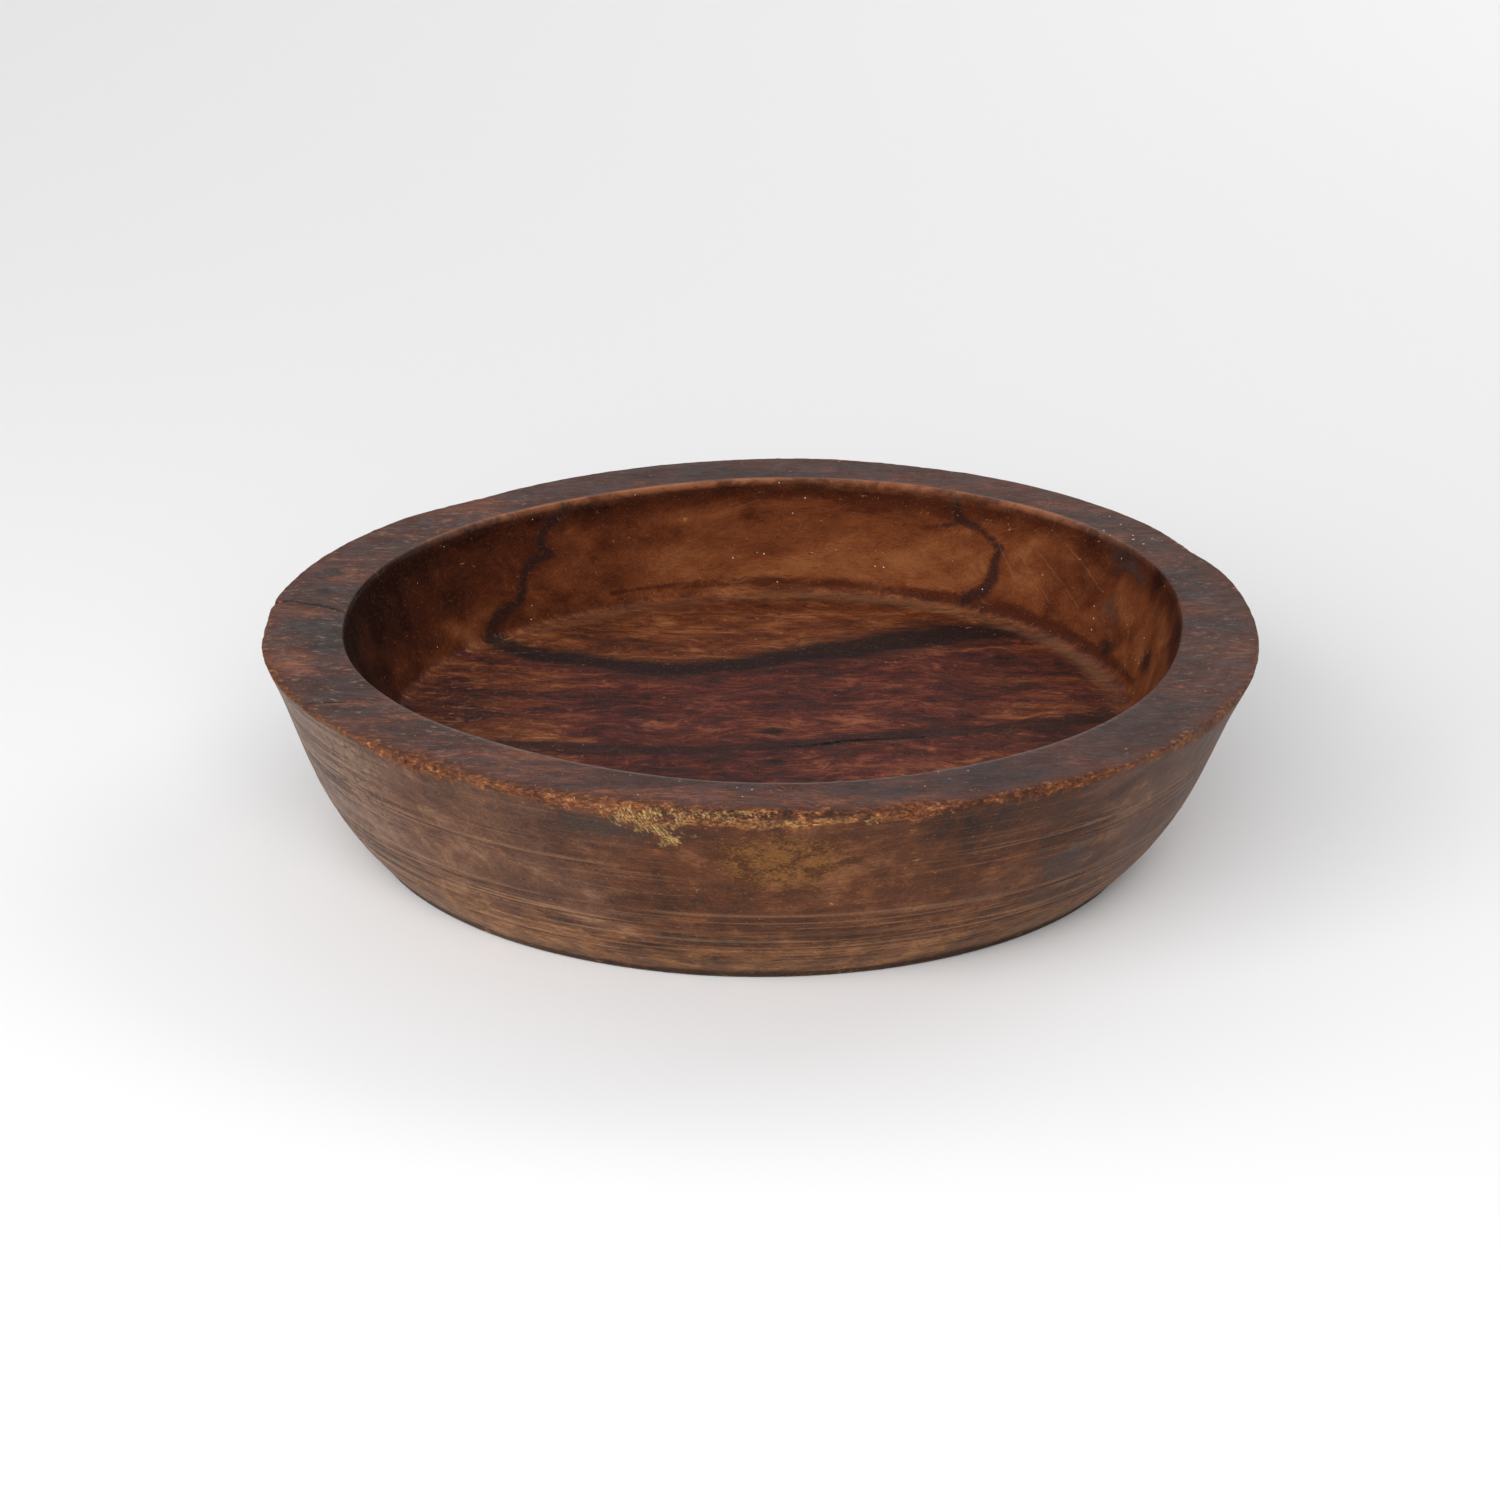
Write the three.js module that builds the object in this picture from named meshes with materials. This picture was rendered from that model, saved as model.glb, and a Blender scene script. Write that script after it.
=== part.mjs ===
// A heavy round bowl, turned from one blank of dark hardwood: a flat base, a full wall that
// leans out to a broad flat rim, and a shallow hollow with a flat floor. The blank has shrunk
// since it was turned, so no outline is a true circle, and the rim's outer arris is chipped.
// Millimetres. The grain runs along X, +Z is up, and the base stands on Z = 0 with the
// middle of the bowl's bounding box over the origin.

import * as THREE from "three";
import { mergeVertices } from "three/addons/utils/BufferGeometryUtils.js";

// Driving dimensions
const height = 105;
const rimRadius = 244.5;
const rimWidth = 38;
const baseRadius = 187;
const hollowDepth = 55;
const hollowLean = 22;
const wallFullness = 0.96;

// Rounded and broken edges
const baseRound = 2.5;
const mouthRound = 2.5;
const floorCove = 7;
const arrisBevel = 1.6;

// Out-of-round: each lobe swells its outline by its amount, toward its bearing in degrees
const rimLobes = [
  { count: 2, amount: 3.0, toward: 60 },
  { count: 3, amount: 3.9, toward: 70 },
  { count: 4, amount: 0.8, toward: 77 },
  { count: 6, amount: 0.8, toward: 23 },
];
const mouthLobes = [
  { count: 1, amount: 4.5, toward: 87 },
  { count: 2, amount: 4.2, toward: 59 },
  { count: 3, amount: 3.6, toward: 55 },
  { count: 6, amount: 0.9, toward: 26 },
];
const baseLobes = [{ count: 1, amount: 6.0, toward: 180 }];

// Furrows that the turning tool left round the wall, by the height of each one's middle
const furrowWidth = 4;
const furrowDepth = 0.9;
const lowFurrows = { lowest: 15, pitch: 7.5, count: 3 };
const highFurrows = { belowRim: 32, pitch: 6, count: 2 };

// Chips along the rim's outer arris: how far each one widens the bevel, and its reach
const chips = [
  { bearing: 27, reach: 6, bite: 2.2 },
  { bearing: 74, reach: 9, bite: 1.8 },
  { bearing: 131, reach: 8, bite: 2.4 },
  { bearing: 182, reach: 5, bite: 1.5 },
  { bearing: 227, reach: 7, bite: 2.6 },
  { bearing: 256, reach: 7, bite: 4.8 },
  { bearing: 272, reach: 9, bite: 3.4 },
  { bearing: 286, reach: 4, bite: 4.0 },
  { bearing: 303, reach: 7, bite: 2.4 },
  { bearing: 327, reach: 9, bite: 2.6 },
];

// Fineness of the faceted surface
const segments = 108;
const wallSteps = 9;
const roundSteps = 3;
const coveSteps = 3;

const mouthRadius = rimRadius - rimWidth;
const floorRadius = mouthRadius - hollowLean;
const floorHeight = height - hollowDepth;

// How far a lobed outline stands out from its mean circle at a bearing, in radians
function swell(lobes, bearing) {
  const lobe = ({ count, amount, toward }) =>
    amount * Math.cos(count * (bearing - THREE.MathUtils.degToRad(toward)));
  return lobes.map(lobe).reduce((sum, part) => sum + part, 0);
}

// The shortest way round from one bearing to another, in degrees
function turnBetween(from, to) {
  return Math.abs(THREE.MathUtils.euclideanModulo(to - from + 180, 360) - 180);
}

function chipBite(bearing) {
  const degrees = THREE.MathUtils.radToDeg(bearing);
  const bites = chips.map((chip) => {
    const away = turnBetween(chip.bearing, degrees) / chip.reach;
    return chip.bite * Math.exp(-away * away);
  });
  return bites.reduce((sum, bite) => sum + bite, 0);
}

// Mean radius of the outer wall: full near the base, steeper in the middle, flaring at the rim
function wallRadius(z) {
  const t = z / height;
  const share = t + wallFullness * t * (1 - t) ** 2;
  return THREE.MathUtils.lerp(baseRadius, rimRadius, share);
}

function furrowHeights() {
  const row = (start, { pitch, count }) =>
    Array.from({ length: count }, (_, i) => start + i * pitch);
  const highStart = height - highFurrows.belowRim;
  return [...row(lowFurrows.lowest, lowFurrows), ...row(highStart, highFurrows)];
}

// Points of a quarter round from one angle to another, both in degrees
function roundPoints(radius, z, round, from, to, steps, skin) {
  return Array.from({ length: steps + 1 }, (_, i) => {
    const angle = THREE.MathUtils.degToRad(THREE.MathUtils.lerp(from, to, i / steps));
    return {
      radius: radius + round * Math.cos(angle),
      z: z + round * Math.sin(angle),
      skin,
    };
  });
}

// The wall between the base's rounded edge and the rim's bevel, with its furrows
function wallPoints() {
  const low = baseRound;
  const high = height - arrisBevel;
  const plain = Array.from({ length: wallSteps - 1 }, (_, i) =>
    THREE.MathUtils.lerp(low, high, (i + 1) / wallSteps),
  );
  const middles = furrowHeights();
  const half = furrowWidth / 2;
  const depthAt = (z) => {
    const away = Math.min(...middles.map((middle) => Math.abs(z - middle)));
    return furrowDepth * Math.max(0, 1 - away / half);
  };
  const clear = plain.filter((z) => middles.every((m) => Math.abs(z - m) > furrowWidth));
  const cut = middles.flatMap((middle) => [middle - half, middle, middle + half]);
  const heights = [low, ...clear, ...cut].sort((a, b) => a - b);
  return heights.map((z) => ({ radius: wallRadius(z) - depthAt(z), z, skin: "outer" }));
}

// The hollow's wall, from the mouth's rounded arris down to the cove at the floor
function hollowPoints() {
  const lean = Math.atan2(hollowLean, hollowDepth);
  const fall = THREE.MathUtils.radToDeg(lean);
  const mouth = roundPoints(
    mouthRadius + mouthRound,
    height - mouthRound,
    mouthRound,
    90,
    180 - fall,
    roundSteps,
    "inner",
  );
  const coveMiddle = floorRadius - floorCove * Math.tan((Math.PI / 2 - lean) / 2);
  const cove = roundPoints(
    coveMiddle,
    floorHeight + floorCove,
    floorCove,
    -fall,
    -90,
    coveSteps,
    "inner",
  );
  const top = mouth.at(-1);
  const bottom = cove[0];
  const middle = {
    radius: (top.radius + bottom.radius) / 2,
    z: (top.z + bottom.z) / 2,
    skin: "inner",
  };
  return [...mouth, middle, ...cove];
}

function bowlProfile() {
  const baseInner = wallRadius(baseRound) - baseRound;
  const underside = [
    { radius: 0, z: 0, skin: "outer" },
    { radius: baseInner, z: 0, skin: "outer" },
    { radius: baseInner + baseRound * 0.7, z: baseRound * 0.3, skin: "outer" },
  ];
  const bevel = [
    { radius: rimRadius, z: height, skin: "bevelLow" },
    { radius: rimRadius, z: height, skin: "bevelTop" },
  ];
  const middle = { radius: 0, z: floorHeight, skin: "inner" };
  return [...underside, ...wallPoints(), ...bevel, ...hollowPoints(), middle];
}

// A profile point's place at a bearing, once the outlines have moved and the arris is chipped
function movedPoint(point, bearing) {
  const bite = arrisBevel + chipBite(bearing);
  const z = point.skin === "bevelLow" ? height - bite : point.z;
  if (point.skin === "inner") {
    const reach = Math.min(1, point.radius / floorRadius);
    return { radius: point.radius + reach * swell(mouthLobes, bearing), z };
  }
  const radius = {
    outer: point.radius,
    bevelLow: wallRadius(z),
    bevelTop: rimRadius - bite,
  }[point.skin];
  const reach = Math.min(1, point.radius / baseRadius);
  const baseSwell = swell(baseLobes, bearing);
  const rimSwell = swell(rimLobes, bearing);
  return { radius: radius + reach * THREE.MathUtils.lerp(baseSwell, rimSwell, z / height), z };
}

function bowlGeometry() {
  const profile = bowlProfile();
  const outline = profile.map((point) => new THREE.Vector2(point.radius, point.z));
  const turned = new THREE.LatheGeometry(outline, segments);
  turned.rotateX(Math.PI / 2);
  const position = turned.getAttribute("position");
  for (let i = 0; i < position.count; i++) {
    const segment = Math.floor(i / profile.length) % segments;
    const bearing = (segment / segments) * 2 * Math.PI - Math.PI / 2;
    const { radius, z } = movedPoint(profile[i % profile.length], bearing);
    position.setXYZ(i, radius * Math.cos(bearing), radius * Math.sin(bearing), z);
  }
  turned.deleteAttribute("normal");
  turned.deleteAttribute("uv");
  const closed = mergeVertices(turned, 1e-4);
  closed.computeBoundingBox();
  const middle = closed.boundingBox.getCenter(new THREE.Vector3());
  closed.translate(-middle.x, -middle.y, 0);
  closed.computeVertexNormals();
  return closed;
}

const darkWood = new THREE.MeshStandardMaterial({
  color: 0x5a3826,
  roughness: 0.55,
  metalness: 0,
});

const bowl = new THREE.Mesh(bowlGeometry(), darkWood);
bowl.name = "bowl";

const turnedBowl = new THREE.Group();
turnedBowl.add(bowl);

export default turnedBowl;
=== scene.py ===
# The looks of a heavy turned bowl: one thick blank of dark hardwood with a flat base, a full
# leaning wall, a broad flat rim that is chipped and worn along its outer arris, and a shallow
# hollow with dark veins. Sizes are millimetres about the turning axis, with the grain along X
# and +Z up; the mesh itself is made in metres, in the frame's place.

from functools import partial
from itertools import pairwise, product

import bpy
import numpy as np
from mathutils import Matrix, Vector


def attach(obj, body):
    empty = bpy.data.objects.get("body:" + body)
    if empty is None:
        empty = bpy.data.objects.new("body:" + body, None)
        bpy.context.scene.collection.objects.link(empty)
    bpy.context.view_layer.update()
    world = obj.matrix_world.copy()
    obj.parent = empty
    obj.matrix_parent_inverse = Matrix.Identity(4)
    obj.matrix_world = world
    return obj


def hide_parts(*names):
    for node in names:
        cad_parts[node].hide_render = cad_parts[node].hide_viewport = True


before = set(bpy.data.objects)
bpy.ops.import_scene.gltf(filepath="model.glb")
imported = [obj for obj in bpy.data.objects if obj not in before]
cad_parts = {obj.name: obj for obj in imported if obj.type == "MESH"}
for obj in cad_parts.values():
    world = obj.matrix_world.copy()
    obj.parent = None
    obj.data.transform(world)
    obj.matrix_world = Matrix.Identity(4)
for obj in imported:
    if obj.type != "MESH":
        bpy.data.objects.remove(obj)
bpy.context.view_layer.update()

MM = 0.001
UP = np.array([0.0, 0.0, 1.0])

# Driving dimensions of the turned shape, as the solid has them
HEIGHT = 105.0
RIM_RADIUS = 244.5
RIM_WIDTH = 38.0
BASE_RADIUS = 187.0
HOLLOW_DEPTH = 55.0
HOLLOW_LEAN = 22.0
WALL_FULLNESS = 0.96
BASE_ROUND = 2.5
MOUTH_ROUND = 1.6
FLOOR_COVE = 7.0
ARRIS_BEVEL = 1.4
SKIN_INSET = 0.05

MOUTH_RADIUS = RIM_RADIUS - RIM_WIDTH
FLOOR_RADIUS = MOUTH_RADIUS - HOLLOW_LEAN
FLOOR_HEIGHT = HEIGHT - HOLLOW_DEPTH

# Out-of-round: how many lobes, how far they swell, and the bearing in degrees that one faces
RIM_LOBES = ((2, 3.0, 60), (3, 3.9, 70), (4, 0.8, 77), (6, 0.8, 23))
MOUTH_LOBES = ((1, 4.6, 77), (2, 4.2, 59), (3, 3.6, 55), (6, 0.9, 26))
BASE_LOBES = ((1, 6.0, 180),)

# Chips along the outer arris, each with its bearing, reach in degrees and bite; the ledge among
# them; and how far wear of the arris keeps from the mouth
CHIPS = (
    (27, 6, 2.2), (74, 9, 1.8), (131, 8, 2.4), (182, 5, 1.5), (227, 7, 2.6),
    (256, 7, 4.8), (271, 10, 4.4), (286, 4, 4.0), (303, 7, 2.4), (327, 9, 2.6),
)
LEDGE_BEARING = 271
LEDGE_REACH = 9
LEDGE_STAIN_REACH = 11
MOUTH_CLEARANCE = 6

# Fine lines that the turning tool left round the wall: lowest, highest and how many; a height
# between the two groups; and the band of each group that gets fine lines of painted shade and
# highlight and of bump, by its middle and half height
LOW_LINES = (5.5, 43.0, 19)
HIGH_LINES = (65.5, 77.0, 6)
LINES_PARTED = 50
LOW_BAND = (27, 17)
HIGH_BAND = (70, 9)

LATTICE_SEED = 7
LINES_SEED = 11

# Bearings and reaches in degrees of stretches at the front: where few lines are left on the
# upper wall, where they are plainer all the way down, and where the arris is worn wider; and
# the heights between which the first one begins
CALM_BEARING = 272
CALM_FROM = (52, 62)
PLAIN_TURNING = (273, 26)
WIDE_WEAR = (237, 18)

# Fineness of the mesh: points round the axis, heights and steps up the wall, and on the flat
# faces the gap between rings, the smallest ring, the least step round one, and the margin
# between the underside's rings and its rounded edge
ROUND_COUNT = 540
ARRIS_COUNT = 2 * ROUND_COUNT
WALL_STEPS = ((2.5, 12, 2.4), (12, 42, 0.75), (42, 64, 2.4), (64, 79, 0.8), (79, 96, 1.4))
RING_GAP = 3.4
LEAST_RING = 9.0
LEAST_STEP = 1.15
UNDERSIDE_MARGIN = 2
SHARP_ANGLE = 48


def swell(lobes, bearing):
    """How far a lobed outline stands out from its mean circle."""
    return sum(a * np.cos(n * (bearing - np.radians(toward))) for n, a, toward in lobes)


def turn_from(toward, bearing):
    """The shortest way round, in degrees, from a bearing in degrees to ones in radians."""
    return (np.degrees(bearing) - toward + 180) % 360 - 180


def facing(toward, reach, bearing, power=2):
    """1 at a bearing in degrees, falling to 0 past a reach in degrees to both sides of it."""
    return np.exp(-((turn_from(toward, bearing) / reach) ** power))


def smooth(value, low, high):
    """0 at low, 1 at high, and an even curve between them."""
    share = np.clip((value - low) / (high - low), 0, 1)
    return share * share * (3 - 2 * share)


LATTICE = np.random.default_rng(LATTICE_SEED).uniform(-1, 1, (32, 32, 32))


def noise(points, lengths, seed=0):
    """Smooth noise from -1 to 1, whose grain has these lengths along X, Y and Z."""
    at = points / np.array(lengths, float) + 11.3 * seed
    cell = np.floor(at).astype(int)
    part = at - cell
    part = part * part * (3 - 2 * part)
    total = np.zeros(len(points))
    for corner in product((0, 1), repeat=3):
        weight = np.prod(np.where(corner, part, 1 - part), axis=1)
        x, y, z = ((cell + corner) % len(LATTICE)).T
        total += weight * LATTICE[x, y, z]
    return total


def arris_bite(bearing):
    """How far the outer arris is worn back, with small ragged losses besides the chips."""
    on_edge = RIM_RADIUS * np.stack([np.cos(bearing), np.sin(bearing), 0 * bearing], axis=1)
    ragged = 0.5 * noise(on_edge, (9, 9, 9), 1) + 0.35 * noise(on_edge, (3.2, 3.2, 3.2), 2)
    chips = sum(bite * facing(toward, reach, bearing) for toward, reach, bite in CHIPS)
    return ARRIS_BEVEL + chips + (0.35 + 0.3 * chips) * (ragged + 0.6)


def wall_radius(z, bearing):
    t = z / HEIGHT
    share = t + WALL_FULLNESS * t * (1 - t) ** 2
    mean = BASE_RADIUS + share * (RIM_RADIUS - BASE_RADIUS) - SKIN_INSET
    return mean + (1 - t) * swell(BASE_LOBES, bearing) + t * swell(RIM_LOBES, bearing)


def hollow_radius(radius, bearing):
    return radius + np.minimum(1, radius / FLOOR_RADIUS) * swell(MOUTH_LOBES, bearing)


# Rings of the surface: each function gives the radius and the height at some bearings


def underside_ring(radius, bearing):
    return radius + radius / BASE_RADIUS * swell(BASE_LOBES, bearing), 0


def base_round_ring(turn, bearing):
    """A ring of the rounded edge between the underside and the wall; turn is 0 to 1."""
    angle = np.radians(90 * turn)
    edge = wall_radius(BASE_ROUND, bearing)
    return edge - BASE_ROUND * (1 - np.sin(angle)), BASE_ROUND * (1 - np.cos(angle))


def wall_ring(z, bearing):
    return wall_radius(z, bearing), z


def upper_wall_ring(share, low, bearing):
    """A ring between a level one at height low and the ragged lower edge of the arris."""
    return wall_ring(low + share * (HEIGHT - arris_bite(bearing) - low), bearing)


def arris_ring(share, bearing):
    """A ring of the worn arris, from the wall at 0 to the rim at 1. A chip with a ledge goes
    in level first and then straight up; the rest is bevelled and a little rounded."""
    bite = arris_bite(bearing)
    low = wall_radius(HEIGHT - bite, bearing)
    top = wall_radius(HEIGHT, bearing) - bite
    ledge = facing(LEDGE_BEARING, LEDGE_REACH, bearing, 4)
    inward = share + ledge * (np.minimum(1, share / 0.55) - share)
    upward = share + ledge * (np.maximum(0, (share - 0.45) / 0.55) - share)
    crown = 0.13 * bite * np.sin(np.pi * share) * (1 - ledge)
    return low + (top - low) * inward + crown, HEIGHT - bite * (1 - upward) + crown * 0.7


def rim_ring(share, bearing):
    outer = wall_radius(HEIGHT, bearing) - arris_bite(bearing)
    inner = hollow_radius(MOUTH_RADIUS + MOUTH_ROUND, bearing)
    return outer + share * (inner - outer), HEIGHT


def hollow_ring(radius, z, bearing):
    return hollow_radius(radius, bearing), z


def floor_ring(radius, bearing):
    return hollow_ring(radius, FLOOR_HEIGHT, bearing)


def arc(radius, z, size, first, last, steps):
    """Points of an arc in the turning plane, between two angles in degrees."""
    angles = np.radians(np.linspace(first, last, steps + 1))
    return [(radius + size * np.cos(a), z + size * np.sin(a)) for a in angles]


def hollow_profile():
    """The hollow's own outline, from the mouth's rounded arris to the floor's edge."""
    lean = np.arctan2(HOLLOW_LEAN, HOLLOW_DEPTH)
    fall = np.degrees(lean)
    high = HEIGHT - MOUTH_ROUND
    mouth = arc(MOUTH_RADIUS + MOUTH_ROUND, high, MOUTH_ROUND, 90, 180 - fall, 6)
    middle = FLOOR_RADIUS - FLOOR_COVE * np.tan((np.pi / 2 - lean) / 2)
    cove = arc(middle, FLOOR_HEIGHT + FLOOR_COVE, FLOOR_COVE, -fall, -90, 5)
    wall = np.linspace(mouth[-1], cove[0], 20)[1:-1]
    return [*mouth[1:], *wall, *cove]


def falling_rings(radius, ring):
    """Rings inside a radius, on to the axis, with half as many points as the circle shrinks."""
    rings = []
    count = ROUND_COUNT
    while radius > LEAST_RING:
        radius -= RING_GAP
        while count % 2 == 0 and 2 * np.pi * radius / count < LEAST_STEP:
            count //= 2
        rings.append((count, partial(ring, radius)))
    return rings


def bowl_rings():
    """Every ring as (points, function), from the underside's middle to the floor's."""
    heights = np.concatenate([np.arange(*steps) for steps in WALL_STEPS])
    profile = hollow_profile()
    flat = BASE_RADIUS - BASE_ROUND - UNDERSIDE_MARGIN
    underside = falling_rings(flat + RING_GAP, underside_ring)[::-1]
    base = [partial(base_round_ring, turn) for turn in np.linspace(0, 1, 5)[:-1]]
    wall = [partial(wall_ring, z) for z in heights]
    upper = [partial(upper_wall_ring, share, heights[-1]) for share in (0.3, 0.55, 0.75, 0.9)]
    arris = [partial(arris_ring, share) for share in np.linspace(0, 1, 9)]
    rim = [partial(rim_ring, share) for share in (*np.linspace(0.04, 0.94, 13), 1.0)]
    hollow = [partial(hollow_ring, *point) for point in profile]
    floor = falling_rings(profile[-1][0], floor_ring)
    below = [(ROUND_COUNT, ring) for ring in (*base, *wall, *upper)]
    above = [(ROUND_COUNT, ring) for ring in (*rim, *hollow)]
    return [*underside, *below, *((ARRIS_COUNT, ring) for ring in arris), *above, *floor]


def stitch(lower, upper):
    """Faces between two rings of points, where one may have twice the other's count."""
    n, m = len(lower), len(upper)
    low = np.append(lower, lower[0])
    high = np.append(upper, upper[0])
    if n == m:
        return [(low[i], low[i + 1], high[i + 1], high[i]) for i in range(n)]
    faces = []
    if m == 2 * n:
        for i in range(n):
            a, b, c = high[2 * i], high[2 * i + 1], high[2 * i + 2]
            faces += [(low[i], b, a), (low[i], low[i + 1], b), (low[i + 1], c, b)]
        return faces
    for i in range(m):
        a, b, c = low[2 * i], low[2 * i + 1], low[2 * i + 2]
        faces += [(a, b, high[i]), (b, c, high[i + 1]), (b, high[i + 1], high[i])]
    return faces


def turned_surface():
    """Points and faces of the whole closed surface, before its relief."""
    points = [np.array([[0.0, 0.0, 0.0]])]
    faces = []
    previous = None
    total = 1
    for count, ring in bowl_rings():
        bearing = np.arange(count) * 2 * np.pi / count
        radius, z = ring(bearing)
        points.append(np.stack([radius * np.cos(bearing), radius * np.sin(bearing), z + 0 * bearing], 1))
        index = total + np.arange(count)
        if previous is None:
            faces += [(0, b, a) for a, b in zip(index, np.roll(index, -1))]
        else:
            faces += stitch(previous, index)
        previous = index
        total += count
    points.append(np.array([[0.0, 0.0, FLOOR_HEIGHT]]))
    faces += [(a, b, total) for a, b in zip(previous, np.roll(previous, -1))]
    return np.concatenate(points), faces


class Place:
    """Where each point of the surface lies, as soft weights from 0 to 1."""

    def __init__(self, points):
        self.points = points
        self.x, self.y, self.z = points.T
        self.bearing = np.arctan2(self.y, self.x)
        self.radius = np.hypot(self.x, self.y)
        self.right, self.behind = np.cos(self.bearing), np.sin(self.bearing)
        swollen = swell(MOUTH_LOBES, self.bearing)
        self.to_mouth = self.radius - MOUTH_RADIUS - MOUTH_ROUND - swollen
        self.to_edge = wall_radius(HEIGHT, self.bearing) - self.radius
        self.clear_of_mouth = self.to_mouth > MOUTH_CLEARANCE
        above = self.z > FLOOR_HEIGHT - 5
        self.in_hollow = smooth(self.to_mouth, -0.5, -1.7) * above
        self.on_floor = self.in_hollow * smooth(self.z, FLOOR_HEIGHT + 2.6, FLOOR_HEIGHT + 0.5)
        self.in_wall = self.in_hollow - self.on_floor
        self.on_rim = above * (1 - self.in_hollow) * smooth(self.z, HEIGHT - 1.4, HEIGHT - 0.3)
        to_foot = wall_radius(BASE_ROUND, self.bearing) - BASE_ROUND - self.radius
        self.under = (self.z < 1.5) * smooth(to_foot, 0.0, 6.0)
        self.outside = 1 - self.in_hollow - self.on_rim - self.under

    def tangent(self, bearing):
        """How far round each point lies from a bearing in degrees, along the surface."""
        return np.radians(turn_from(bearing, self.bearing)) * self.radius

    def facing(self, toward, reach, power=2):
        return facing(toward, reach, self.bearing, power)

    def noise(self, lengths, seed):
        return noise(self.points, lengths, seed)


def at_radius(radius, turn, z):
    return np.array([radius * np.cos(turn), radius * np.sin(turn), z])


def on_floor(x, y):
    return np.array([x, y, FLOOR_HEIGHT])


def on_rim(x, y):
    return np.array([x, y, HEIGHT])


def on_hollow(bearing, z):
    share = (HEIGHT - z) / HOLLOW_DEPTH
    turn = np.radians(bearing)
    return at_radius(hollow_radius(MOUTH_RADIUS - share * HOLLOW_LEAN, turn), turn, z)


def on_outside(bearing, z):
    turn = np.radians(bearing)
    return at_radius(wall_radius(z, turn), turn, z)


def on_left(y, z):
    return np.array([-wall_radius(z, np.pi), y, z])


def anywhere(x, y, z):
    return np.array([x, y, z])


# A distance, in half widths, at which nothing of a mark shows
FAR = 9.0


def near_line(place, line):
    """Distance from a line of (point, half width), in half widths."""
    best = np.full(len(place.points), FAR)
    for (a, wide_a), (b, wide_b) in pairwise(line):
        along = b - a
        share = np.clip((place.points - a) @ along / (along @ along), 0, 1)
        gap = np.linalg.norm(place.points - a - share[:, None] * along, axis=1)
        best = np.minimum(best, gap / (wide_a + share * (wide_b - wide_a)))
    return best


def near_lines(place, make, *lines):
    """Distance from the nearest of several lines, whose points make works out."""
    made = ([(make(*at), half) for *at, half in line] for line in lines)
    return closest(*(near_line(place, line) for line in made))


def flat_spot(place, x, y, half_x, half_y, less=0.0):
    """Distance from a spot on the floor or the rim, in half sizes; less is how faint it is."""
    return np.hypot((place.x - x) / half_x, (place.y - y) / half_y) + less


def wall_spot(place, bearing, z, half_round, half_high, less=0.0):
    """Distance from a spot on a wall, in half sizes; less is how faint it is."""
    return np.hypot(place.tangent(bearing) / half_round, (place.z - z) / half_high) + less


def closest(*distances):
    return np.minimum.reduce(distances)


def only(distance, weight):
    """A distance that counts only where a weight is 1."""
    return distance + FAR * (1 - smooth(weight, 0.0, 0.6))


def spots(place, distance, marks, weight=1.0):
    """Distance from the nearest of several spots, where a weight is 1."""
    return only(closest(*(distance(place, *mark) for mark in marks)), weight)


# Dark veins: x, y and half width on the floor; bearing, height and half width on the hollow's wall
FLOOR_VEIN = (
    (-144, 130, 4.5), (-139, 113, 6.0), (-121, 97, 8.5), (-105, 91.5, 8.5), (-75, 81.5, 8.0),
    (-59, 76.5, 9.5), (-44, 75, 10.0), (-14, 84, 8.5), (16, 97.5, 10.0), (47, 108.5, 13.5),
    (78, 123.5, 14.0), (94, 129, 14.0), (110, 132, 10.0), (126, 132, 5.0),
)
LEFT_VEIN = (
    (121, 104, 3.4), (125.5, 93.8, 2.4), (127, 87.3, 2.0), (125.1, 81.2, 1.7), (128.4, 80.8, 2.6),
    (130.7, 76.4, 2.4), (131.9, 68.3, 2.4), (133.1, 62.7, 2.6), (136.4, 60.6, 3.0),
    (138.4, 58.2, 3.0), (140.3, 53.7, 3.2),
)
RIGHT_VEIN = (
    (63.4, 103, 2.8), (61.8, 92.2, 2.6), (58.4, 89.3, 1.8), (54.5, 82.1, 1.7), (55, 76.8, 2.2),
    (54.7, 69.5, 3.0), (55.5, 61.6, 3.0), (58.5, 54.6, 3.4),
)
BRANCH_VEIN = ((70, 86.7, 0.9), (64.6, 87.2, 1.0), (61.7, 91.2, 1.8))

# A broad soft dark band along the floor, and a reddish dark line above the floor's back edge
FLOOR_BAND = (
    (-140, -26, 5.0), (-111, -28, 6.0), (-81, -33, 7.5), (-38, -32.5, 5.0), (-8, -27.5, 5.0),
    (21, -23.5, 5.5), (50, -15.5, 6.5), (80, -5, 7.5), (109, -3, 6.0), (139, 5.5, 8.0),
    (166, 18, 8.0),
)
EDGE_LINE = (
    (116, 57.6, 0.9), (104, 55.8, 1.4), (91, 55.2, 1.9), (78, 54.8, 1.7), (63, 53.7, 2.2),
    (50, 54.7, 2.5), (40, 54.4, 2.5), (26, 54.6, 2.2), (14, 56.8, 1.6),
)

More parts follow.
